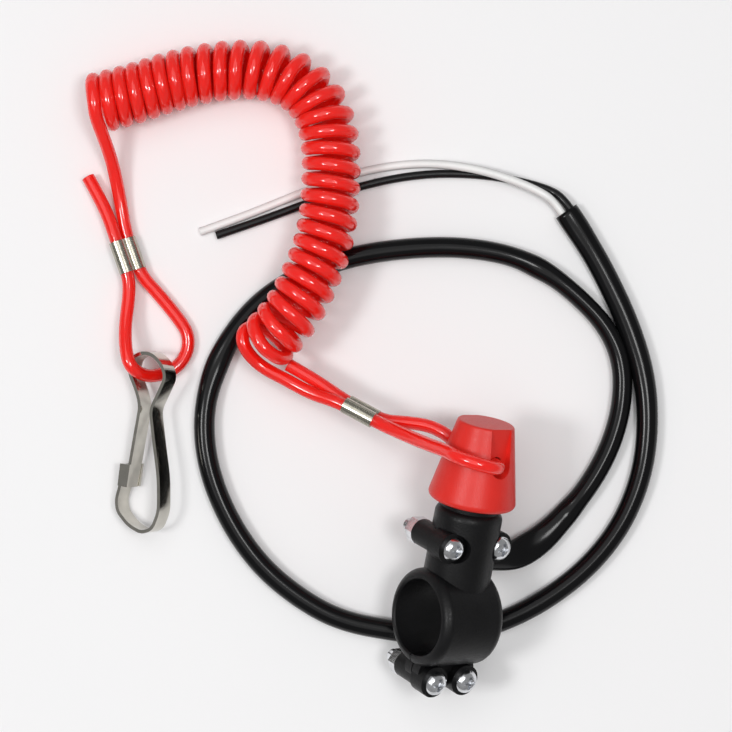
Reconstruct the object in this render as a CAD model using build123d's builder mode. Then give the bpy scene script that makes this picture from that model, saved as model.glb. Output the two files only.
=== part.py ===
from build123d import *

import math
import os

# Engine kill switch with lanyard: a two-piece housing clamps on a handlebar and carries a plunger
# switch in its tower. A red cap sits on the tower, tied to a coiled cord with a snap hook.
# Lengths are in millimetres. The origin is on the table, under the middle of the housing and cap.

# Handlebar ring
BAR_RADIUS = 11.1
RING_WALL = 3.1
RING_LENGTH = 21.4
RING_OFFSET = 0.8
RING_ROUND = 2.8
BORE_EDGE = 0.4
CLAMP_GAP = 0.4

# Tower
TOWER_RADIUS = 9.8
SHOULDER_HEIGHT = 33.2
SHOULDER_ROUND = 2.6
NECK_RADIUS = 8.5
NECK_ROOF = 7.9

# M4 screws: the seat is where the heads bear on the front half, the nuts bear on the rear bosses
SCREW_RADIUS = 2.0
SCREW_LENGTH = 22.0
SCREW_CLEARANCE = 0.15
HEAD_RADIUS = 3.5
HEAD_HEIGHT = 2.6
HEAD_EDGE = 0.9
HEAD_CROWN = 1.6
HEAD_ROUND = 2.4
RECESS_WIDTH = 0.9
RECESS_SPAN = 3.8
RECESS_DEPTH = 1.5
SCREW_TIP = 0.5
NUT_ACROSS_FLATS = 7.0
NUT_THICKNESS = 3.2
NUT_CLEARANCE = 0.05
SCREW_SEAT = 5.9
NUT_SEAT = 9.0
FRONT_BOSS_RADIUS = 4.6
REAR_BOSS_RADIUS = 3.9
HEAD_POCKET_RADIUS = 4.4
TOWER_SCREW_X = 8.4
TOWER_SCREW_Z = 22.7
CLAMP_SCREW_X = 5.5
CLAMP_SCREW_Z = -18.0

# Ears that carry the clamp screws under the ring
EAR_HALF_WIDTH = 9.9
EAR_BOTTOM = -20.2
EAR_CORNER = 4.5
EAR_FRONT = 3.4
EAR_REAR = 3.4

# Switch chamber in the tower, above the lead space
CHAMBER_RADIUS = 5.6
CHAMBER_FLOOR = 14.3
CHAMBER_OVERRUN = 1.4
RUNNING_FIT = 0.06
SEAT_CLEARANCE = 0.1

# Contact base, plunger and contacts
BASE_BOTTOM = 18.0
BASE_THICKNESS = 2.0
SPIGOT_RADIUS = 1.6
SPIGOT_HEIGHT = 1.6
PLUNGER_RADIUS = 2.4
PLUNGER_PRESSED = 3.0
COLLAR_RADIUS = 3.4
COLLAR_THICKNESS = 1.8
PLUNGER_PEG_RADIUS = 1.2
PLUNGER_PEG_LENGTH = 2.2
BRIDGE_LENGTH = 8.4
BRIDGE_WIDTH = 4.0
BRIDGE_THICKNESS = 0.8
PEG_TRAVEL = 3.8
TERMINAL_STOCK = 0.5
TERMINAL_WIDTH = 3.0
TERMINAL_FOOT = 2.1
TERMINAL_REACH = 1.2
CONTACT_GAP = 0.06
SPRING_WIRE_RADIUS = 0.25
SPRING_COIL_RADIUS = 2.2
SPRING_TURNS = 5

# Cable port through the left of the rear half
PORT_Y = -4.0
PORT_Z = 16.0
PORT_CLEARANCE = 0.1
PORT_FLOOR = -7.4
PORT_BOSS_WALL = 1.1
PORT_BOSS_END = -9.2
LEAD_RADIUS = 1.25
LEAD_SPACING = 2.6
LEAD_BEND = 1.3

# Cap
CAP_OVERLAP = 7.8
CAP_ABOVE_NECK = 15.9
CAP_RIM_RADIUS = 13.0
CAP_TOP_RADIUS = 8.2
CAP_RIM_ROUND = 1.6
CAP_TOP_ROUND = 0.7
CAP_CLEARANCE = 0.3
CAP_STEM_CLEARANCE = 0.3
SLOT_WIDTH = 7.0
SLOT_BACK = 7.3
SLOT_ABOVE_NECK = 2.4
HOLE_ABOVE_NECK = 5.7
CORD_HOLE_CLEARANCE = 0.25

# Cords
SLEEVE_RADIUS = 3.1
WIRE_RADIUS = 1.25
CORD_RADIUS = 1.95
COIL_RADIUS = 8.7
CORD_WRAP_FRONT = 12.6
CORD_WRAP_SIDE = 13.2

# Ferrules and snap hook
FERRULE_LENGTH = 9.7
FERRULE_WALL = 0.3
FERRULE_WAIST = 1.1
FERRULE_CLEARANCE = 0.12
HOOK_WIDTH = 6.0
HOOK_THICKNESS = 1.0
HOOK_LIP = 0.8
HOOK_LIP_GAP = 0.1
HOOK_TILT = 26
HOOK_AT = (-97.9, 14.5, 5.9)

# How the housing lies on the table: where the tower's axis crosses the handlebar's, which way the
# handlebar's axis points and which way the tower points
HOUSING_AT = (-0.1, -17.56, 20.86)
BAR_AXIS = (-0.8145, 0.0202, 0.5797)
TOWER_AXIS = (0.1740, 0.9619, 0.2110)

LYING = Plane(origin=HOUSING_AT, x_dir=BAR_AXIS, z_dir=TOWER_AXIS).location

SCREW_PLACES = {
    "tower_{}_left": (TOWER_SCREW_X, TOWER_SCREW_Z),
    "tower_{}_right": (-TOWER_SCREW_X, TOWER_SCREW_Z),
    "clamp_{}_left": (CLAMP_SCREW_X, CLAMP_SCREW_Z),
    "clamp_{}_right": (-CLAMP_SCREW_X, CLAMP_SCREW_Z),
}

os.makedirs("parts", exist_ok=True)


def finish(builder, label, place=LYING):
    """Lay a finished piece in its place, label it and write it."""
    piece = builder.part.moved(place)
    piece.label = label
    export_step(piece, f"parts/{label}.step")


# Heights up the tower's axis: the switch is stacked on its base, the roof of the chamber and the neck
# clear the plunger's travel, and the cap is placed from the neck's top
base_top = BASE_BOTTOM + BASE_THICKNESS
bridge_height = base_top + SPIGOT_HEIGHT + PEG_TRAVEL + PLUNGER_PEG_LENGTH
collar_height = bridge_height + BRIDGE_THICKNESS
chamber_top = collar_height + COLLAR_THICKNESS + PLUNGER_PRESSED + CHAMBER_OVERRUN
neck_top = chamber_top + NECK_ROOF
plunger_top = neck_top - PLUNGER_PRESSED
cap_rim_height = neck_top - CAP_OVERLAP
cap_top_height = neck_top + CAP_ABOVE_NECK
slot_bottom = neck_top + SLOT_ABOVE_NECK
cord_hole_height = neck_top + HOLE_ABOVE_NECK

# Housing, both halves in one: ring, tower, ears, bosses and port boss, then everything hollow
ring_radius = BAR_RADIUS + RING_WALL
port_radius = SLEEVE_RADIUS + PORT_CLEARANCE
lead_slot_height = 2 * (LEAD_RADIUS + PORT_CLEARANCE)

with BuildPart() as housing:
    with Locations((RING_OFFSET, 0, 0)):
        Cylinder(ring_radius, RING_LENGTH, rotation=(0, 90, 0))
    fillet(housing.edges().filter_by(GeomType.CIRCLE), RING_ROUND)

    with BuildSketch(Plane.XY.offset(BAR_RADIUS - RING_WALL)):
        Circle(TOWER_RADIUS)
    extrude(amount=SHOULDER_HEIGHT - BAR_RADIUS + RING_WALL)
    fillet(housing.edges().group_by(Axis.Z)[-1], SHOULDER_ROUND)
    with BuildSketch(Plane.XY.offset(SHOULDER_HEIGHT - SHOULDER_ROUND)):
        Circle(NECK_RADIUS)
    extrude(amount=neck_top - SHOULDER_HEIGHT + SHOULDER_ROUND)

    with BuildSketch(Plane.XZ) as ear_outline:
        with Locations((0, (EAR_BOTTOM - BAR_RADIUS) / 2)):
            Rectangle(2 * EAR_HALF_WIDTH, -EAR_BOTTOM - BAR_RADIUS)
        fillet(ear_outline.vertices().group_by(Axis.Z)[0], EAR_CORNER)
    extrude(amount=EAR_REAR)
    extrude(ear_outline.sketch, amount=-EAR_FRONT)

    for x, z in SCREW_PLACES.values():
        with BuildSketch(Plane.XZ):
            with Locations((x, z)):
                Circle(FRONT_BOSS_RADIUS)
        extrude(amount=-SCREW_SEAT)
        with BuildSketch(Plane.XZ):
            with Locations((x, z)):
                Circle(REAR_BOSS_RADIUS)
        extrude(amount=NUT_SEAT)

    with BuildSketch(Plane.YZ.offset(PORT_BOSS_END)):
        with Locations((PORT_Y, PORT_Z)):
            Circle(port_radius + PORT_BOSS_WALL)
    extrude(amount=PORT_FLOOR - PORT_BOSS_END + port_radius)

    Cylinder(BAR_RADIUS, 2 * RING_LENGTH, rotation=(0, 90, 0), mode=Mode.SUBTRACT)
    bore_rims = housing.edges().filter_by(GeomType.CIRCLE).filter_by(lambda e: e.radius == BAR_RADIUS)
    chamfer(bore_rims, BORE_EDGE)

    with BuildSketch(Plane.XY.offset(CHAMBER_FLOOR)):
        Circle(CHAMBER_RADIUS)
    extrude(amount=chamber_top - CHAMBER_FLOOR, mode=Mode.SUBTRACT)
    with BuildSketch(Plane.XY.offset(CHAMBER_FLOOR)):
        Circle(PLUNGER_RADIUS + RUNNING_FIT)
    extrude(amount=neck_top, mode=Mode.SUBTRACT)

    for x, z in SCREW_PLACES.values():
        with BuildSketch(Plane.XZ.offset(-SCREW_SEAT)):
            with Locations((x, z)):
                Circle(HEAD_POCKET_RADIUS)
        extrude(amount=-ring_radius, mode=Mode.SUBTRACT)
        with BuildSketch(Plane.XZ):
            with Locations((x, z)):
                Circle(SCREW_RADIUS + SCREW_CLEARANCE)
        extrude(amount=ring_radius, both=True, mode=Mode.SUBTRACT)

    with BuildSketch(Plane.YZ.offset(PORT_FLOOR)):
        with Locations((PORT_Y, PORT_Z)):
            Circle(port_radius)
    extrude(amount=-RING_LENGTH, mode=Mode.SUBTRACT)
    with BuildSketch(Plane.YZ.offset(PORT_FLOOR)):
        with Locations((PORT_Y, PORT_Z)):
            SlotOverall(lead_slot_height + LEAD_SPACING, lead_slot_height)
    extrude(amount=CHAMBER_RADIUS + LEAD_RADIUS, mode=Mode.SUBTRACT)

    with BuildSketch(Plane.XY):
        Rectangle(2 * RING_LENGTH, CLAMP_GAP)
    extrude(amount=2 * EAR_BOTTOM, mode=Mode.SUBTRACT)

with BuildPart() as housing_front:
    add(housing.part)
    split(bisect_by=Plane.XZ, keep=Keep.BOTTOM)
finish(housing_front, "housing_front")

with BuildPart() as housing_rear:
    add(housing.part)
    split(bisect_by=Plane.XZ, keep=Keep.TOP)
finish(housing_rear, "housing_rear")

# Screws, drawn head up: a pan head with a cross recess, then the shank
with BuildPart() as screw_blank:
    with BuildSketch(Plane.XZ):
        with BuildLine():
            Polyline(
                (HEAD_CROWN, HEAD_HEIGHT),
                (0, HEAD_HEIGHT),
                (0, 0),
                (HEAD_RADIUS, 0),
                (HEAD_RADIUS, HEAD_EDGE),
            )
            RadiusArc((HEAD_CROWN, HEAD_HEIGHT), (HEAD_RADIUS, HEAD_EDGE), HEAD_ROUND)
        make_face()
    revolve(axis=Axis.Z)
    with BuildSketch(Plane.XY.offset(HEAD_HEIGHT)):
        Rectangle(RECESS_SPAN, RECESS_WIDTH)
        Rectangle(RECESS_WIDTH, RECESS_SPAN)
    extrude(amount=-RECESS_DEPTH, mode=Mode.SUBTRACT)
    with BuildSketch():
        Circle(SCREW_RADIUS)
    extrude(amount=-SCREW_LENGTH)
    chamfer(screw_blank.edges().group_by(Axis.Z)[0], SCREW_TIP)

with BuildPart() as nut_blank:
    with BuildSketch():
        RegularPolygon(NUT_ACROSS_FLATS / 2, 6, major_radius=False)
        Circle(SCREW_RADIUS + NUT_CLEARANCE, mode=Mode.SUBTRACT)
    extrude(amount=NUT_THICKNESS)

for name, (x, z) in SCREW_PLACES.items():
    with BuildPart() as screw:
        with Locations(Location((x, SCREW_SEAT, z), (-90, 0, 0))):
            add(screw_blank.part)
    finish(screw, name.format("screw"))
    with BuildPart() as nut:
        with Locations(Location((x, -NUT_SEAT, z), (90, 0, 0))):
            add(nut_blank.part)
    finish(nut, name.format("nut"))

# Contact base: a disc in the chamber with two lead holes and a spigot for the spring
terminal_x = BRIDGE_LENGTH / 2 + TERMINAL_STOCK
lead_x = terminal_x - TERMINAL_FOOT / 2

with BuildPart() as contact_base:
    with BuildSketch(Plane.XY.offset(BASE_BOTTOM)):
        Circle(CHAMBER_RADIUS - SEAT_CLEARANCE)
        with Locations((lead_x, 0), (-lead_x, 0)):
            Circle(LEAD_RADIUS + SEAT_CLEARANCE, mode=Mode.SUBTRACT)
    extrude(amount=BASE_THICKNESS)
    with BuildSketch(Plane.XY.offset(base_top)):
        Circle(SPIGOT_RADIUS)
    extrude(amount=SPIGOT_HEIGHT)
finish(contact_base, "contact_base")

# Terminals: brass strips that stand on the base and hook in over the bridge's ends
hook_height = collar_height + PLUNGER_PRESSED + CONTACT_GAP

for name, side in (("terminal_right", -1), ("terminal_left", 1)):
    with BuildPart() as terminal:
        with BuildSketch(Plane.XZ):
            with BuildLine():
                Polyline(
                    (side * (terminal_x - TERMINAL_FOOT), base_top),
                    (side * (terminal_x + TERMINAL_STOCK), base_top),
                    (side * (terminal_x + TERMINAL_STOCK), hook_height + TERMINAL_STOCK),
                    (side * (terminal_x - TERMINAL_REACH), hook_height + TERMINAL_STOCK),
                    (side * (terminal_x - TERMINAL_REACH), hook_height),
                    (side * terminal_x, hook_height),
                    (side * terminal_x, base_top + TERMINAL_STOCK),
                    (side * (terminal_x - TERMINAL_FOOT), base_top + TERMINAL_STOCK),
                    close=True,
                )
            make_face()
        extrude(amount=TERMINAL_WIDTH / 2, both=True)
    finish(terminal, name)

# Contact bridge: a brass bar on the plunger's peg
with BuildPart() as contact_bridge:
    with BuildSketch(Plane.XY.offset(bridge_height)):
        Rectangle(BRIDGE_LENGTH, BRIDGE_WIDTH)
        Circle(PLUNGER_PEG_RADIUS + SEAT_CLEARANCE, mode=Mode.SUBTRACT)
    extrude(amount=BRIDGE_THICKNESS)
finish(contact_bridge, "contact_bridge")

# Plunger: rod in the neck, collar on the bridge, peg through it; the cap's stem holds it down
with BuildPart() as plunger:
    with BuildSketch(Plane.XY.offset(collar_height)):
        Circle(PLUNGER_PEG_RADIUS)
    extrude(amount=-BRIDGE_THICKNESS - PLUNGER_PEG_LENGTH)
    with BuildSketch(Plane.XY.offset(collar_height)):
        Circle(COLLAR_RADIUS)
    extrude(amount=COLLAR_THICKNESS)
    with BuildSketch(Plane.XY.offset(collar_height)):
        Circle(PLUNGER_RADIUS)
    extrude(amount=plunger_top - collar_height)
finish(plunger, "plunger")

# Plunger spring: a round wire coil between the base and the bridge
spring_length = bridge_height - base_top - 2 * SPRING_WIRE_RADIUS
spring_pitch = spring_length / SPRING_TURNS

with BuildPart() as plunger_spring:
    with BuildLine(Plane.XY.offset(base_top + SPRING_WIRE_RADIUS)):
        spring_line = Helix(pitch=spring_pitch, height=spring_length, radius=SPRING_COIL_RADIUS)
    with BuildSketch(Plane(origin=spring_line @ 0, z_dir=spring_line % 0)):
        RegularPolygon(SPRING_WIRE_RADIUS, 6)
    sweep(path=spring_line, is_frenet=True)
finish(plunger_spring, "plunger_spring")

# Inner leads: from the sleeve's end in the port, under the base and up to the terminals' feet
lead_level = PORT_Z
for name, start_y, way, end_x in (
    ("inner_lead_black", PORT_Y + LEAD_SPACING / 2, ((-4.4, PORT_Y + LEAD_SPACING / 2),), -lead_x),
    ("inner_lead_white", PORT_Y - LEAD_SPACING / 2, ((-3.4, PORT_Y - LEAD_SPACING / 2),), lead_x),
):
    with BuildPart() as lead:
        with BuildLine():
            lead_line = FilletPolyline(
                (PORT_FLOOR, start_y, lead_level),
                *((x, y, lead_level) for x, y in way),
                (end_x, 0, lead_level),
                (end_x, 0, base_top),
                radius=LEAD_BEND,
            )
        with BuildSketch(Plane(origin=lead_line @ 0, z_dir=lead_line % 0)):
            Circle(LEAD_RADIUS)
        sweep(path=lead_line)
    finish(lead, name)

# Cap: a cone over the neck, with a stem that presses the plunger and a cross hole for the cord
with BuildPart() as cap:
    with BuildSketch(Plane.XZ):
        with BuildLine():
            Polyline(
                (0, cap_rim_height),
                (CAP_RIM_RADIUS, cap_rim_height),
                (CAP_TOP_RADIUS, cap_top_height),
                (0, cap_top_height),
                close=True,
            )
        make_face()
    revolve(axis=Axis.Z)
    fillet(cap.edges().group_by(Axis.Z)[0], CAP_RIM_ROUND)
    for side in (1, -1):
        slot_plane = Plane(origin=(0, side * SLOT_BACK, 0), x_dir=(1, 0, 0), z_dir=(0, side, 0))
        slot_up = -side
        with BuildSketch(slot_plane):
            with Locations((0, slot_up * (slot_bottom + SLOT_WIDTH / 2))):
                Circle(SLOT_WIDTH / 2)
            with Locations((0, slot_up * (slot_bottom + SLOT_WIDTH / 2 + cap_top_height / 2))):
                Rectangle(SLOT_WIDTH, cap_top_height)
        extrude(amount=CAP_RIM_RADIUS, mode=Mode.SUBTRACT)
    with BuildSketch(Plane.XZ):
        with Locations((0, cord_hole_height)):
            Circle(CORD_RADIUS + CORD_HOLE_CLEARANCE)
    extrude(amount=CAP_RIM_RADIUS, both=True, mode=Mode.SUBTRACT)
    with BuildSketch(Plane.XY.offset(neck_top)):
        Circle(NECK_RADIUS + CAP_CLEARANCE)
    extrude(amount=-neck_top, mode=Mode.SUBTRACT)
    with BuildSketch(Plane.XY.offset(neck_top)):
        Circle(PLUNGER_RADIUS - CAP_STEM_CLEARANCE)
    extrude(amount=plunger_top - neck_top)
    top_edges = cap.edges().group_by(Axis.Z)[-1]
    fillet(top_edges.filter_by(GeomType.CIRCLE), CAP_TOP_ROUND)
finish(cap, "cap")

# Cords: each route is a list of points, rounded at every point by as large an arc as its runs allow
def corner_radii(points):
    """A radius for each corner: 0.45 of the shorter run beside it over the tangent of half its turn."""
    radii = []
    for before, corner, after in zip(points, points[1:], points[2:]):
        run_in = Vector(*corner) - Vector(*before)
        run_out = Vector(*after) - Vector(*corner)
        half_turn = math.radians(run_in.get_angle(run_out) / 2)
        radii.append(0.45 * min(run_in.length, run_out.length) / math.tan(half_turn))
    return radii


def write_tube(label, points, radius):
    """Sweep a round cord along its route, write it, and print its length, volume and radii."""
    radii = corner_radii(points)
    with BuildPart() as tube:
        with BuildLine():
            route = FilletPolyline(*points, radius=radii)
        with BuildSketch(Plane(origin=route @ 0, z_dir=route % 0)):
            Circle(radius)
        sweep(path=route)
    finish(tube, label, Location())
    length = route.length
    print(label, "length", round(length, 1), "radii", [round(r, 1) for r in radii])
    section = math.pi * radius**2
    print(label, "volume", round(tube.part.volume), "section by length", round(section * length))


def on_housing(x, y, z):
    """A point given in the housing's own frame, as it lies on the table."""
    return tuple((LYING * Location((x, y, z))).position)


port_start = on_housing(PORT_FLOOR, PORT_Y, PORT_Z)
port_way_out = on_housing(PORT_FLOOR - 11.1, PORT_Y, PORT_Z)

SLEEVE_ROUTE = [
    port_start, port_way_out, (26.2, 2.1, 4.9), (34.8, 10.0, 3.15), (42.9, 20.2, 3.1),
    (48.8, 31.5, 3.1), (52.0, 43.6, 3.1), (51.9, 55.8, 3.1), (47.4, 66.2, 3.1), (39.1, 75.1, 3.1),
    (29.0, 83.1, 3.1), (16.1, 88.5, 3.1), (-3.5, 90.4, 3.1), (-28.8, 87.5, 3.1), (-46.6, 80.1, 3.1),
    (-58.2, 71.5, 3.1), (-67.2, 58.8, 3.1), (-71.8, 42.4, 3.1), (-70.4, 26.1, 3.1),
    (-63.8, 10.7, 3.1), (-53.8, -2.9, 3.1), (-41.6, -12.7, 3.1), (-30.1, -19.0, 3.1),
    (-14.6, -22.7, 3.1), (0.8, -25.9, 3.1), (15.9, -21.5, 3.1), (28.9, -15.1, 3.1),
    (41.7, -5.3, 3.1), (51.5, 6.9, 3.1), (57.4, 20.8, 3.1), (59.8, 35.1, 3.1), (58.8, 50.7, 3.1),
    (54.0, 66.5, 3.1), (46.6, 82.3, 3.1), (39.7, 94.1, 3.1), (35.3, 100.5, 3.1),
]
write_tube("cable_sleeve", SLEEVE_ROUTE, SLEEVE_RADIUS)

# The wires leave the sleeve's cut end side by side
sleeve_end = Vector(*SLEEVE_ROUTE[-1])
sleeve_way = (sleeve_end - Vector(*SLEEVE_ROUTE[-2])).normalized()
beside = Vector(0, 0, 1).cross(sleeve_way) * (WIRE_RADIUS + 0.1)

WHITE_ROUTE = [
    tuple(sleeve_end + beside), tuple(sleeve_end + beside + sleeve_way * 3.5),
    (28.6, 105.7, 4.5), (18.0, 110.3, 4.1), (7.3, 113.3, 3.4), (-3.9, 114.8, 2.2),
    (-14.6, 114.4, 1.25), (-25.9, 112.3, 1.25), (-37.5, 108.4, 1.25), (-48.8, 103.8, 1.25),
    (-61.2, 98.8, 1.25), (-73.4, 94.5, 1.25),
]
write_tube("white_wire", WHITE_ROUTE, WIRE_RADIUS)

BLACK_ROUTE = [
    tuple(sleeve_end - beside), tuple(sleeve_end - beside + sleeve_way * 3.6),
    (31.0, 106.8, 1.4), (23.2, 109.2, 1.25), (14.0, 111.0, 1.25), (4.4, 111.8, 1.25),
    (-5.5, 111.7, 1.25), (-16.4, 110.3, 1.25), (-28.9, 107.2, 1.25), (-42.2, 102.8, 1.25),
    (-55.4, 97.8, 1.25), (-68.6, 93.4, 1.25),
]
write_tube("black_wire", BLACK_ROUTE, WIRE_RADIUS)

# Lanyard: a cord through the cap, both of whose strands pass a ferrule; a coil; a loop on the hook
hole_start = on_housing(0.2, -SLOT_BACK - 4.2, cord_hole_height)
hole_end = on_housing(0, SLOT_BACK + 4.7, cord_hole_height)

CAP_LOOP_ROUTE = [
    (-46.9, 55.0, 12.4), (-38.0, 50.0, 13.2), (-30.75, 44.68, 13.72), (-19.35, 38.62, 16.48),
    (-13.3, 37.5, 17.7), (-6.5, 36.0, 19.5), hole_start, hole_end,
    on_housing(CORD_WRAP_SIDE * 2 / 3, CORD_WRAP_FRONT, cord_hole_height + 2.0),
    on_housing(CORD_WRAP_SIDE, CORD_WRAP_FRONT / 2, cord_hole_height + 1.8),
    (-1.33, 30.7, 39.6), (-7.6, 32.7, 31.8), (-14.3, 35.4, 24.6), (-20.45, 38.12, 20.28),
    (-31.95, 44.08, 17.52), (-39.9, 46.4, 14.6), (-47.8, 49.8, 12.8), (-53.7, 53.6, 11.8),
    (-58.0, 58.6, 11.8), (-58.9, 64.3, 12.6), (-56.6, 69.2, 13.8),
]
write_tube("lanyard_cap_loop", CAP_LOOP_ROUTE, CORD_RADIUS)

COIL_ROUTE = [
    (-102.9, 133.9, 8.9), (-91.7, 135.2, 8.9), (-80.0, 138.9, 8.9), (-66.5, 142.2, 8.9),
    (-54.7, 141.5, 8.9), (-45.6, 138.1, 8.9), (-39.4, 132.8, 9.2), (-35.6, 125.4, 9.8),
    (-34.2, 116.5, 10.8), (-34.3, 107.0, 12.4), (-35.3, 96.6, 14.6), (-37.5, 87.5, 15.6),
    (-40.4, 80.5, 15.6), (-45.4, 72.1, 15.6), (-50.3, 65.1, 15.2), (-52.7, 61.9, 14.8),
]
write_tube("lanyard_coil", COIL_ROUTE, COIL_RADIUS)

HOOK_LOOP_ROUTE = [
    (-102.4, 139.0, 13.4), (-104.4, 133.6, 10.6), (-104.0, 128.6, 6.2), (-101.9, 123.4, 3.0),
    (-99.4, 116.0, 1.95), (-97.3, 104.8, 1.95), (-95.43, 93.98, 2.4), (-91.17, 81.82, 2.4),
    (-86.3, 76.6, 2.0), (-80.0, 69.0, 1.95), (-76.8, 64.1, 1.95), (-77.0, 58.8, 1.95),
    (-79.8, 54.5, 2.0), (-84.3, 52.1, 3.2), (-89.0, 51.4, 6.8), (-93.4, 54.2, 10.9),
    (-94.8, 59.9, 9.4), (-95.2, 66.7, 6.6), (-94.3, 74.1, 5.0), (-94.15, 80.82, 4.8),
    (-98.35, 92.88, 4.8), (-100.3, 98.6, 4.1), (-103.4, 105.0, 3.2), (-106.6, 110.6, 2.4),
]
write_tube("lanyard_hook_loop", HOOK_LOOP_ROUTE, CORD_RADIUS)


# Ferrules: a crimped figure-eight sleeve round two runs of the cord
def write_ferrule(label, route, first, second):
    """Make a ferrule round the runs of the route that start at the points first and second."""
    first_middle = (Vector(*route[first]) + Vector(*route[first + 1])) / 2
    second_middle = (Vector(*route[second]) + Vector(*route[second + 1])) / 2
    across = second_middle - first_middle
    along = Vector(*route[first + 1]) - Vector(*route[first])
    middle = Plane(origin=(first_middle + second_middle) / 2, x_dir=across, z_dir=along)
    with BuildPart() as ferrule:
        with BuildSketch(middle):
            for grow, waist, mode in (
                (FERRULE_WALL, FERRULE_WAIST + FERRULE_WALL, Mode.ADD),
                (0, FERRULE_WAIST, Mode.SUBTRACT),
            ):
                with Locations((-across.length / 2, 0), (across.length / 2, 0)):
                    Circle(CORD_RADIUS + FERRULE_CLEARANCE + grow, mode=mode)
                Rectangle(across.length, 2 * waist, mode=mode)
        extrude(amount=FERRULE_LENGTH / 2, both=True)
    finish(ferrule, label, Location())


write_ferrule("ferrule_cap_end", CAP_LOOP_ROUTE, 2, 13)
write_ferrule("ferrule_hook_end", HOOK_LOOP_ROUTE, 6, 19)

# Snap hook: one bent strip, from the gate's tip round the eye and the hook to the latch tab, whose
# two lips close over the tip. It lies on its left edge, tilted about its length.
HOOK_ROUTE = [
    (3.3, 4.4), (8.2, 28.5), (6.9, 33.0), (4.4, 38.3), (5.0, 42.1), (8.1, 44.0), (11.9, 43.7),
    (15.2, 41.0), (16.9, 36.9), (14.0, 31.3), (11.7, 27.2), (13.1, 16.2), (14.5, 7.3),
    (14.5, -2.7), (12.2, -7.7), (8.6, -8.9), (4.0, -6.8), (0.4, -2.8), (-0.1, 0.5), (1.4, 5.2),
    (2.3, 11.3),
]
hook_place = Location(HOOK_AT, (0, -HOOK_TILT, 0))

with BuildPart() as snap_hook:
    with BuildSketch():
        with BuildLine():
            FilletPolyline(*HOOK_ROUTE, radius=corner_radii([(*point, 0) for point in HOOK_ROUTE]))
        trace(line_width=HOOK_THICKNESS)
    extrude(amount=-HOOK_WIDTH)
    for level, way in ((HOOK_LIP_GAP, 1), (-HOOK_WIDTH - HOOK_LIP_GAP, -1)):
        with BuildSketch(Plane.XY.offset(level)):
            with BuildLine():
                Polyline((1.0, 4.9), (1.9, 11.4), (5.3, 11.1), (4.2, 4.4), close=True)
            make_face()
        extrude(amount=way * HOOK_LIP)
    with BuildSketch(Plane.XY.offset(HOOK_LIP_GAP)):
        with BuildLine():
            Line((1.5, 5.6), (2.3, 11.0))
        trace(line_width=HOOK_THICKNESS)
    extrude(amount=-HOOK_WIDTH - 2 * HOOK_LIP_GAP)
finish(snap_hook, "snap_hook", hook_place)
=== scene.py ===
import math

import bpy
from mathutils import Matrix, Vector
from mathutils.kdtree import KDTree


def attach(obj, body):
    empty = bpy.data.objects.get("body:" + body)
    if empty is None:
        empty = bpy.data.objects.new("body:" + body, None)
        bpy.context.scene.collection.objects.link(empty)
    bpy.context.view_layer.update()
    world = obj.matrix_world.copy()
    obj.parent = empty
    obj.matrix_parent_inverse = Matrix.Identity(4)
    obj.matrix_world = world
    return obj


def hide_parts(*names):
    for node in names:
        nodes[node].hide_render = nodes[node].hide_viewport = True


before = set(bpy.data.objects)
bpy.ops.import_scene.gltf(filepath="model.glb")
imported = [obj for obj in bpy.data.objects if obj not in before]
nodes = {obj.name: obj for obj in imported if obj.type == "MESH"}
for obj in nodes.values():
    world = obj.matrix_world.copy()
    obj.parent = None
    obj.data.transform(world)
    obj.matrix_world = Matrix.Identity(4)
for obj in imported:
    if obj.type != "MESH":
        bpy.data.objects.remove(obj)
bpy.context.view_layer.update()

# The camera looks straight down on the table from 700 mm, over the middle of the photograph, which
# shows 218 mm of the table from side to side.
CAMERA_HEIGHT = 0.7
VIEW_WIDTH = 0.2181
SENSOR_WIDTH = 36.0
VIEW_MIDDLE = (-0.0241, 0.0546)

camera_data = bpy.data.cameras.new("camera")
camera_data.sensor_width = SENSOR_WIDTH
camera_data.lens = SENSOR_WIDTH * CAMERA_HEIGHT / VIEW_WIDTH
camera = bpy.data.objects.new("camera", camera_data)
camera.location = (*VIEW_MIDDLE, CAMERA_HEIGHT)
bpy.context.scene.collection.objects.link(camera)
bpy.context.scene.camera = camera

# The lanyard is one red PVC cord, 3.9 mm thick. From its cut tail it runs through a ferrule, the
# cap's cross hole and back through the ferrule, into a coil of almost thirty-one turns, then round
# the snap hook's end and twice through the second ferrule to its other cut tail.
MM = 0.001
CORD_RADIUS = 1.95
CAP_LOOP = [
    (-46.9, 55.0, 12.4), (-38.0, 50.0, 13.2), (-30.75, 44.68, 13.72), (-19.35, 38.62, 16.48),
    (-13.3, 38.3, 17.6), (-6.2, 37.5, 19.2), (-0.9, 35.0, 20.4), (1.9, 32.0, 22.0),
    (15.2, 25.4, 40.6), (8.5, 26.8, 46.2), (1.3, 29.1, 44.0), (-1.4, 30.7, 39.9),
    (-7.6, 32.7, 31.8), (-14.3, 35.4, 24.6), (-20.45, 38.12, 20.28), (-31.95, 44.08, 17.52),
    (-39.9, 46.4, 14.6), (-48.1, 50.9, 12.8), (-54.5, 54.2, 12.6), (-58.4, 58.0, 13.8),
    (-60.2, 61.6, 14.8), (-60.0, 64.6, 14.0),
]
COIL_AXIS = [
    (-103.3, 131.8, 9.1), (-93.0, 134.3, 9.1), (-80.0, 138.9, 9.0), (-66.5, 141.7, 8.9),
    (-54.2, 141.8, 8.9), (-44.9, 138.8, 8.9), (-38.6, 133.0, 9.2), (-35.4, 125.6, 9.8),
    (-34.2, 116.5, 10.8), (-34.4, 107.0, 12.4), (-35.0, 97.8, 14.6), (-37.0, 88.5, 15.6),
    (-40.3, 80.3, 16.0), (-44.2, 72.2, 16.2), (-48.8, 66.0, 16.0), (-52.0, 62.6, 14.6),
    (-54.2, 60.3, 12.6),
]
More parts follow.
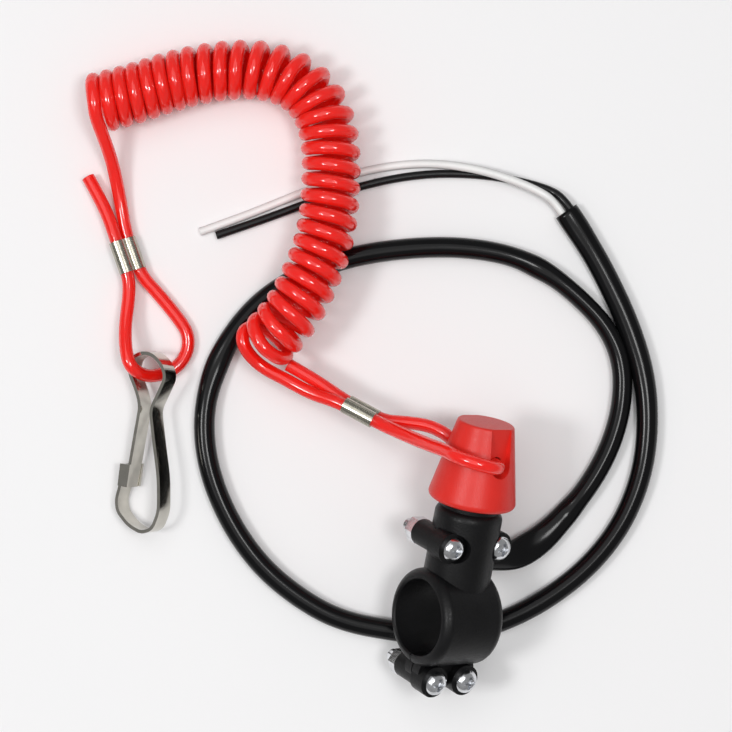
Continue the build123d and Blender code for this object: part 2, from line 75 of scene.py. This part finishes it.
HOOK_LOOP = [
    (-103.0, 127.6, 15.4), (-101.4, 122.8, 12.2), (-99.9, 118.0, 8.6), (-98.7, 113.2, 5.6),
    (-97.7, 107.6, 3.6), (-96.6, 101.0, 2.5), (-95.43, 93.98, 2.4), (-91.17, 81.82, 2.4),
    (-86.3, 76.6, 2.0), (-80.0, 69.0, 1.95), (-76.8, 64.1, 1.95), (-77.0, 58.8, 1.95),
    (-79.8, 54.5, 2.0), (-84.3, 52.1, 3.2), (-89.0, 51.4, 6.8), (-93.4, 54.2, 10.9),
    (-94.8, 59.9, 9.4), (-95.2, 66.7, 6.6), (-94.3, 74.1, 5.0), (-94.15, 80.82, 4.8),
    (-98.35, 92.88, 4.8), (-100.3, 98.6, 4.1), (-103.4, 105.0, 3.2), (-106.6, 110.6, 2.4),
]
# Turn by turn from the hook end: how far along the coil's axis each is, and the radius of its
# centreline, in millimetres
TURN_PLACES = ((0, 0), (7, 28.5), (10, 42.5), (16, 74), (27, 129.5), (29, 140), (30.75, 148))
TURN_RADII = ((0, 7.1), (9, 6.85), (20, 6.75), (30.75, 6.95))
POINTS_PER_TURN = 14
# The first turns stand upright on the table. Over the next few they lean until they are square to
# the coil's axis.
UPRIGHT_TURNS = 24
LEANING_TURNS = 3
# How many points of the axis before and after a place give its direction there
AXIS_POINTS_BEFORE = 3
AXIS_POINTS_AFTER = 2
# The cord is a little thicker in the coil than in its loops
COIL_SWELL = 1.035
# How many straight steps a cord takes between two control points, and how finely its section is
# rounded, as Blender's bevel counts it
CORD_STEPS = 5
SECTION_STEPS = 5


def metres(points):
    """A route's points in metres."""
    return [Vector(point) * MM for point in points]


def nurbs_line(name, points, radius=0.0, capped=True, steps=CORD_STEPS):
    """A curve object of one smooth open spline, with a round section where radius is given."""
    curve = bpy.data.curves.new(name, "CURVE")
    curve.dimensions = "3D"
    curve.resolution_u = steps
    curve.bevel_depth = radius
    curve.bevel_resolution = SECTION_STEPS
    curve.use_fill_caps = capped and radius > 0
    spline = curve.splines.new("NURBS")
    spline.points.add(len(points) - 1)
    for spot, point in zip(spline.points, points):
        spot.co = (*point, 1.0)
    spline.order_u = 3
    spline.use_endpoint_u = True
    return bpy.data.objects.new(name, curve)


def line_points(points, steps=CORD_STEPS):
    """The points along the smooth spline through a route, read from a curve with no section."""
    bare = nurbs_line("bare", points, steps=steps)
    mesh = bpy.data.meshes.new_from_object(bare)
    found = [vertex.co.copy() for vertex in mesh.vertices]
    bpy.data.objects.remove(bare)
    bpy.data.meshes.remove(mesh)
    return found


def lengths_along(line):
    """The distance from the line's start to each of its points."""
    along = [0.0]
    for before, after in zip(line, line[1:]):
        along.append(along[-1] + (after - before).length)
    return along


def between(table, value):
    """The value that a table of pairs gives, read off on a straight line between its entries."""
    for (low, at_low), (high, at_high) in zip(table, table[1:]):
        if value <= high:
            break
    return at_low + (at_high - at_low) * (value - low) / (high - low)


def coil_points():
    """The control points of the coil's turns, from its hook end to its cap end, in metres."""
    axis = line_points(metres(COIL_AXIS))
    along = lengths_along(axis)
    # The spline runs inside its control points, level with each at three quarters of that point
    # and an eighth of each neighbour, so they are set out wider by this much
    widen = 1 / (0.75 + 0.25 * math.cos(2 * math.pi / POINTS_PER_TURN))
    found = []
    for step in range(int(TURN_PLACES[-1][0] * POINTS_PER_TURN) + 1):
        turn = step / POINTS_PER_TURN
        place = min(between(TURN_PLACES, turn) * MM, along[-1])
        index = 1
        while index < len(along) - 1 and along[index] < place:
            index += 1
        share = (place - along[index - 1]) / (along[index] - along[index - 1])
        centre = axis[index - 1].lerp(axis[index], share)
        ahead = axis[min(index + AXIS_POINTS_AFTER, len(axis) - 1)]
        behind = axis[max(index - AXIS_POINTS_BEFORE, 0)]
        way = (ahead - behind).normalized()
        lean = min(max((turn - UPRIGHT_TURNS) / LEANING_TURNS, 0), 1)
        top = (Vector((0, 0, 1)) - way * way.z * lean).normalized()
        across = top.cross(way).normalized()
        radius = between(TURN_RADII, turn) * widen * MM
        angle = 2 * math.pi * turn
        found.append(centre + (top * math.cos(angle) + across * math.sin(angle)) * radius)
    return found


def show(piece, body, slot, *replaced):
    """Link a finished piece, ride it on its body and hide the nodes it stands for; slot is not
    used.
    """
    bpy.context.scene.collection.objects.link(piece)
    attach(piece, body)
    if replaced:
        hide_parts(*replaced)


# How much fine detail the noise of the patches and of the grain has, the range that most of its
# values lie in, and how far a surface turns away before its painted rim shows, a painted light
# and shade at the silhouette
PATCH_DETAIL = 3.0
GRAIN_DETAIL = 2.0
NOISE_LOW = 0.25
NOISE_HIGH = 0.75
PAINTED_RIM_BLEND = 0.35


def surface_variation():
    """Node group in which patches vary a colour, and grain varies the roughness and the height."""
    group = bpy.data.node_groups.new("surface_variation", "ShaderNodeTree")
    sockets = group.interface
    for name, kind in (
        ("Vector", "NodeSocketVector"),
        ("Color", "NodeSocketColor"),
        ("Patches per metre", "NodeSocketFloat"),
        ("Patch strength", "NodeSocketFloat"),
        ("Grains per metre", "NodeSocketFloat"),
        ("Roughness", "NodeSocketFloat"),
        ("Roughness spread", "NodeSocketFloat"),
    ):
        sockets.new_socket(name=name, in_out="INPUT", socket_type=kind)
    for name, kind in (
        ("Color", "NodeSocketColor"),
        ("Roughness", "NodeSocketFloat"),
        ("Height", "NodeSocketFloat"),
    ):
        sockets.new_socket(name=name, in_out="OUTPUT", socket_type=kind)
    tree, link = group.nodes, group.links.new
    given, result = tree.new("NodeGroupInput"), tree.new("NodeGroupOutput")
    patches, grain = tree.new("ShaderNodeTexNoise"), tree.new("ShaderNodeTexNoise")
    patches.inputs["Detail"].default_value = PATCH_DETAIL
    grain.inputs["Detail"].default_value = GRAIN_DETAIL
    for noise, scale in ((patches, "Patches per metre"), (grain, "Grains per metre")):
        link(given.outputs["Vector"], noise.inputs["Vector"])
        link(given.outputs[scale], noise.inputs["Scale"])
    # The noise is spread over -1 to 1, and then its strength is applied, about 1 for the colour
    # and about the given roughness for the grain
    centred = {}
    for noise, strength, middle in (
        (patches, "Patch strength", None),
        (grain, "Roughness spread", "Roughness"),
    ):
        spread = tree.new("ShaderNodeMapRange")
        spread.inputs["From Min"].default_value = NOISE_LOW
        spread.inputs["From Max"].default_value = NOISE_HIGH
        spread.inputs["To Min"].default_value = -1.0
        link(noise.outputs["Fac"], spread.inputs["Value"])
        scaled = tree.new("ShaderNodeMath")
        scaled.operation = "MULTIPLY_ADD"
        link(spread.outputs["Result"], scaled.inputs[0])
        link(given.outputs[strength], scaled.inputs[1])
        if middle:
            link(given.outputs[middle], scaled.inputs[2])
        else:
            scaled.inputs[2].default_value = 1.0
        centred[strength] = scaled
    lightened = tree.new("ShaderNodeVectorMath")
    lightened.operation = "SCALE"
    link(given.outputs["Color"], lightened.inputs[0])
    link(centred["Patch strength"].outputs[0], lightened.inputs["Scale"])
    link(lightened.outputs[0], result.inputs["Color"])
    link(centred["Roughness spread"].outputs[0], result.inputs["Roughness"])
    link(grain.outputs["Fac"], result.inputs["Height"])
    return group


variation = surface_variation()


def finish(name, colour, roughness, patches, grains, bump, painted_rim=None, **plain):
    """A Principled material whose colour, roughness and height vary over the surface.

    patches and grains are each a count per metre and a strength, bump is the grain's height in
    metres, painted_rim is a colour painted where the surface turns away, standing in for light and
    shade at the silhouette, and plain sets sockets that don't vary.
    """
    made = bpy.data.materials.new(name)
    made.use_nodes = True
    tree, link = made.node_tree.nodes, made.node_tree.links.new
    shader = tree["Principled BSDF"]
    place = tree.new("ShaderNodeTexCoord")
    varied = tree.new("ShaderNodeGroup")
    varied.node_tree = variation
    link(place.outputs["Object"], varied.inputs["Vector"])
    varied.inputs["Color"].default_value = (*colour, 1.0)
    varied.inputs["Patches per metre"].default_value = patches[0]
    varied.inputs["Patch strength"].default_value = patches[1]
    varied.inputs["Grains per metre"].default_value = grains[0]
    varied.inputs["Roughness"].default_value = roughness
    varied.inputs["Roughness spread"].default_value = grains[1]
    shown = varied.outputs["Color"]
    # The rim colour is painted in where the surface turns from the view. It is painted light and
    # shade at the silhouette, not a colour the thing has.
    if painted_rim:
        facing = tree.new("ShaderNodeLayerWeight")
        facing.inputs["Blend"].default_value = PAINTED_RIM_BLEND
        painted_rim_mix = tree.new("ShaderNodeMix")
        painted_rim_mix.data_type = "RGBA"
        link(facing.outputs["Facing"], painted_rim_mix.inputs["Factor"])
        link(shown, painted_rim_mix.inputs["A"])
        painted_rim_mix.inputs["B"].default_value = (*painted_rim, 1.0)
        shown = painted_rim_mix.outputs["Result"]
    link(shown, shader.inputs["Base Color"])
    link(varied.outputs["Roughness"], shader.inputs["Roughness"])
    relief = tree.new("ShaderNodeBump")
    relief.inputs["Distance"].default_value = bump
    link(varied.outputs["Height"], relief.inputs["Height"])
    link(relief.outputs["Normal"], shader.inputs["Normal"])
    for socket, value in plain.items():
        shader.inputs[socket.replace("_", " ")].default_value = value
    return made


cord_red = finish(
    "cord_pvc_red",
    colour=(0.92, 0.01, 0.005),
    roughness=0.1,
    patches=(160, 0.05),
    grains=(500, 0.02),
    bump=0.000002,
    # The cord's paler rim is painted light, standing in for the glow at the edges of the
    # translucent PVC.
    painted_rim=(0.95, 0.04, 0.03),
    Subsurface_Weight=0.75,
    Subsurface_Radius=(0.006, 0.0008, 0.0005),
    Subsurface_Scale=1.0,
    Specular_IOR_Level=0.75,
)
lanyard_route = metres(CAP_LOOP) + coil_points()[::-1] + metres(HOOK_LOOP)
lanyard = nurbs_line("lanyard", lanyard_route, CORD_RADIUS * MM)
for spot in lanyard.data.splines[0].points[len(CAP_LOOP) : -len(HOOK_LOOP)]:
    spot.radius = COIL_SWELL
lanyard.data.materials.append(cord_red)
show(lanyard, "cap", "lanyard_red", "lanyard_cap_loop", "lanyard_coil", "lanyard_hook_loop")

# The cable sleeve is a soft black PVC tube, 6.2 mm across, pushed into the port of the rear half.
# It is squashed where it bends out of the port, dented along its way and open at its cut end.
# It is a tube of the cord's kind with its wall added, whose points are then moved at the dents.
SLEEVE_RADIUS = 3.1
SLEEVE_WALL = 0.6
SLEEVE_STEPS = 12
# How far a flattened sleeve's middle sinks towards the table, as a share of what it lost in radius
SLEEVE_SINK = 0.5
SLEEVE = [
    (6.5, -1.23, 16.8), (15.5, -2.9, 10.0), (26.2, 1.7, 4.9), (34.8, 10.0, 3.15),
    (42.9, 20.2, 3.1), (48.8, 31.5, 3.1), (52.0, 43.6, 3.1), (51.9, 55.8, 3.1), (47.4, 66.2, 3.1),
    (39.1, 75.1, 3.1), (29.0, 83.1, 3.1), (16.1, 88.5, 3.1), (-3.5, 90.4, 3.1), (-28.8, 87.5, 3.1),
    (-46.6, 80.1, 3.1), (-58.2, 71.5, 3.1), (-67.2, 58.8, 3.1), (-72.5, 42.3, 3.1),
    (-71.5, 25.8, 3.1), (-65.4, 9.6, 3.1), (-55.6, -4.7, 3.1), (-43.0, -15.0, 3.1),
    (-31.0, -21.2, 3.1), (-15.2, -24.1, 3.1), (0.8, -25.9, 3.1), (15.9, -21.5, 3.1),
    (28.9, -15.1, 3.1), (41.7, -5.3, 3.1), (51.5, 6.9, 3.1), (57.4, 20.8, 3.1), (59.6, 35.1, 3.1),
    (58.8, 50.7, 3.1), (54.0, 66.5, 3.1), (46.6, 82.3, 3.1), (39.7, 94.1, 3.1), (35.3, 100.5, 3.1),
]
# Dents: where along the sleeve and how far each way in millimetres, then how wide and how thick the
# sleeve is there against its round section
DENTS = [
    (19.5, 9.5, 1.45, 0.62), (30.0, 6.0, 1.14, 0.9), (37.0, 4.0, 1.1, 0.84),
    (104.0, 30.0, 0.9, 0.97), (124.0, 5.0, 1.1, 0.9), (234.0, 7.0, 1.12, 0.86),
    (500.0, 45.0, 1.12, 0.88), (518.0, 7.0, 1.1, 0.92),
]

sleeve_line = line_points(metres(SLEEVE), SLEEVE_STEPS)
sleeve_along = lengths_along(sleeve_line)
sleeve_places = KDTree(len(sleeve_line))
for index, point in enumerate(sleeve_line):
    sleeve_places.insert(point, index)
sleeve_places.balance()

round_sleeve = nurbs_line(
    "round_sleeve", metres(SLEEVE), SLEEVE_RADIUS * MM, capped=False, steps=SLEEVE_STEPS
)
sleeve = bpy.data.objects.new("sleeve", bpy.data.meshes.new_from_object(round_sleeve))
bpy.data.objects.remove(round_sleeve)
for vertex in sleeve.data.vertices:
    centre, index, _ = sleeve_places.find(vertex.co)
    before = sleeve_line[max(index - 1, 0)]
    after = sleeve_line[min(index + 1, len(sleeve_line) - 1)]
    way = (after - before).normalized()
    sideways = Vector((0, 0, 1)).cross(way).normalized()
    upright = way.cross(sideways)
    wide = thick = 1.0
    for place, reach, widest, thinnest in DENTS:
        share = math.exp(-(((sleeve_along[index] - place * MM) / (reach * MM)) ** 2))
        wide += (widest - 1.0) * share
        thick += (thinnest - 1.0) * share
    out = vertex.co - centre
    sink = (1.0 - thick) * SLEEVE_RADIUS * MM
    vertex.co = (
        centre
        + way * out.dot(way)
        + sideways * out.dot(sideways) * wide
        + upright * (out.dot(upright) * thick - sink * SLEEVE_SINK)
    )
sleeve.data.shade_smooth()
wall = sleeve.modifiers.new("wall", "SOLIDIFY")
wall.thickness = SLEEVE_WALL * MM
wall.offset = -1.0

sleeve_black = finish(
    "sleeve_pvc_black",
    colour=(0.004, 0.004, 0.0045),
    roughness=0.16,
    patches=(90, 0.2),
    grains=(60, 0.03),
    bump=0.0001,
    Specular_IOR_Level=0.2,
)
sleeve.data.materials.append(sleeve_black)
show(sleeve, "switch", "sleeve_pvc", "cable_sleeve")

# The two wires are plastic-covered copper, 2.5 mm thick, one white and one black. They leave the
# sleeve's cut end, the white one over the black one, and lie on the table to their cut ends.
WIRE_RADIUS = 1.25
WHITE_LENGTH = 0.115
BLACK_LENGTH = 0.111
WHITE_WIRE = [
    (34.19, 99.74, 3.1), (32.21, 102.62, 3.1), (28.6, 105.7, 4.5), (18.0, 110.3, 4.1),
    (7.3, 113.3, 3.4), (-3.9, 114.8, 2.2), (-14.6, 114.4, 1.25), (-25.9, 112.3, 1.25),
    (-37.5, 108.4, 1.25), (-48.8, 103.8, 1.25), (-61.2, 98.8, 1.25), (-73.4, 94.5, 1.25),
]
BLACK_WIRE = [
    (36.41, 101.26, 3.1), (34.37, 104.23, 3.1), (31.0, 106.8, 1.4), (23.2, 109.2, 1.25),
    (14.0, 111.0, 1.25), (4.4, 111.8, 1.25), (-5.5, 111.7, 1.25), (-16.4, 110.3, 1.25),
    (-28.9, 107.2, 1.25), (-42.2, 102.8, 1.25), (-55.4, 97.8, 1.25), (-68.6, 93.4, 1.25),
]
wire_white = finish(
    "wire_cover_white",
    colour=(0.86, 0.86, 0.85),
    roughness=0.32,
    patches=(120, 0.04),
    grains=(900, 0.06),
    bump=0.00004,
    # The white wire's grey rim is painted shade at its silhouette; the cover itself is white all
    # over.
    painted_rim=(0.36, 0.36, 0.36),
)
wire_black = finish(
    "wire_cover_black",
    colour=(0.006, 0.006, 0.0065),
    roughness=0.22,
    patches=(120, 0.15),
    grains=(900, 0.06),
    bump=0.00001,
    Specular_IOR_Level=0.3,
)
for name, route, cover, slot, replaced, length in (
    ("wire_white", WHITE_WIRE, wire_white, "lead_white", "white_wire", WHITE_LENGTH),
    ("wire_black", BLACK_WIRE, wire_black, "lead_black", "black_wire", BLACK_LENGTH),
):
    wire = nurbs_line(name, metres(route), WIRE_RADIUS * MM)
    wire.data.materials.append(cover)
    show(wire, "switch", slot, replaced)


# The housing is moulded in black glass-filled nylon, in two halves that four screws pull together
# round the handlebar and the switch. Its skin is matt with a fine grain, in faint patches.
def dress(cover, *names):
    """Give CAD nodes a finish."""
    for name in names:
        for place in nodes[name].material_slots:
            place.material = cover


nylon_black = finish(
    "nylon_black",
    colour=(0.0045, 0.0045, 0.005),
    roughness=0.4,
    patches=(110, 0.3),
    grains=(1900, 0.1),
    bump=0.00006,
    Specular_IOR_Level=0.22,
)
dress(nylon_black, "housing_front", "housing_rear")

# The cap is a cone moulded in red plastic with a satin, finely etched skin. It pushes onto the
# tower, where its stem holds the plunger down, and the lanyard runs through its cross hole.
cap_red = finish(
    "cap_plastic_red",
    colour=(0.7, 0.022, 0.014),
    roughness=0.4,
    patches=(90, 0.07),
    grains=(2200, 0.06),
    bump=0.00005,
    Specular_IOR_Level=0.4,
)
dress(cap_red, "cap")

# The four screws and their nuts are steel with a bright zinc plate, a little cloudy and blotched.
# Two pairs hold the tower's foot, and two pull the clamp's ears together.
zinc_plate = finish(
    "zinc_plate",
    colour=(0.7, 0.71, 0.73),
    roughness=0.17,
    patches=(420, 0.22),
    grains=(2600, 0.1),
    bump=0.00001,
    Metallic=1.0,
)
for group in ("tower", "clamp"):
    for kind in ("screw", "nut"):
        dress(zinc_plate, f"{group}_{kind}_left", f"{group}_{kind}_right")

# The two ferrules are short lengths of thin nickel-plated tube, each crimped flat round two runs
# of the cord, one by the cap's loop and one by the hook's.
ferrule_nickel = finish(
    "ferrule_nickel",
    colour=(0.44, 0.42, 0.35),
    roughness=0.22,
    patches=(500, 0.16),
    grains=(2600, 0.1),
    bump=0.00001,
    Metallic=1.0,
)
dress(ferrule_nickel, "ferrule_cap_end", "ferrule_hook_end")

# The snap hook is bent from one strip of polished, nickel-plated spring steel, and the strip's free
# end is its gate. It hangs in the loop at the lanyard's end.
hook_nickel = finish(
    "hook_nickel",
    colour=(0.52, 0.5, 0.45),
    roughness=0.08,
    patches=(260, 0.12),
    grains=(1800, 0.04),
    bump=0.000003,
    Metallic=1.0,
)
dress(hook_nickel, "snap_hook")

# Inside the tower a moulded black base carries two brass terminals and the steel spring. The spring
# pushes up the white acetal plunger with its brass bridge, and two inner leads join the terminals
# to the sleeve.
base_black = finish(
    "base_black",
    colour=(0.02, 0.02, 0.021),
    roughness=0.5,
    patches=(200, 0.2),
    grains=(2400, 0.1),
    bump=0.00006,
)
dress(base_black, "contact_base")
acetal_white = finish(
    "acetal_white",
    colour=(0.7, 0.69, 0.65),
    roughness=0.35,
    patches=(200, 0.05),
    grains=(2400, 0.08),
    bump=0.00003,
)
dress(acetal_white, "plunger")
contact_brass = finish(
    "contact_brass",
    colour=(0.72, 0.5, 0.2),
    roughness=0.3,
    patches=(500, 0.15),
    grains=(2600, 0.1),
    bump=0.00004,
    Metallic=1.0,
)
dress(contact_brass, "contact_bridge", "terminal_left", "terminal_right")
spring_wire = finish(
    "spring_wire",
    colour=(0.55, 0.55, 0.56),
    roughness=0.28,
    patches=(600, 0.12),
    grains=(3000, 0.1),
    bump=0.00002,
    Metallic=1.0,
)
dress(spring_wire, "plunger_spring")
dress(wire_black, "inner_lead_black")
dress(wire_white, "inner_lead_white")

# The table is a pale matt board, wide enough to fill the picture from every side. It is the stage
# and no part of the object.
FLOOR_SIZE = 4.0
bpy.ops.mesh.primitive_plane_add(size=FLOOR_SIZE, location=(*VIEW_MIDDLE, 0))
floor = bpy.context.object
floor.name = "floor"
floor_white = finish(
    "floor_white",
    colour=(0.9, 0.895, 0.9),
    roughness=0.75,
    patches=(3, 0.015),
    grains=(500, 0.05),
    bump=0.00003,
)
floor.data.materials.append(floor_white)

# A broad soft light hangs over the table, two small softboxes stand left and right of the camera
# for the highlights, and the room's own light is weak. Each lamp has its place and its size in
# metres and its power in watts.
ROOM_LIGHT = 0.3
for name, place, size, power in (
    ("ceiling", (-0.25, 0.25, 1.5), (1.6, 1.6), 8.4),
    ("softbox_left", (-0.68, 0.0, 1.1), (0.24, 0.24), 4.2),
    ("softbox_right", (0.24, 0.05, 1.1), (0.24, 0.24), 3.0),
):
    lamp_data = bpy.data.lights.new(name, "AREA")
    lamp_data.shape = "RECTANGLE"
    lamp_data.size, lamp_data.size_y = size
    lamp_data.energy = power
    lamp = bpy.data.objects.new(name, lamp_data)
    lamp.location = place
    aim = Vector((*VIEW_MIDDLE, 0)) - lamp.location
    lamp.rotation_euler = aim.to_track_quat("-Z", "Y").to_euler()
    bpy.context.scene.collection.objects.link(lamp)

world = bpy.data.worlds.new("room")
world.use_nodes = True
room_light = world.node_tree.nodes["Background"]
room_light.inputs["Color"].default_value = (1, 1, 1, 1)
room_light.inputs["Strength"].default_value = ROOM_LIGHT
bpy.context.scene.world = world
bpy.context.scene.view_settings.view_transform = "Standard"
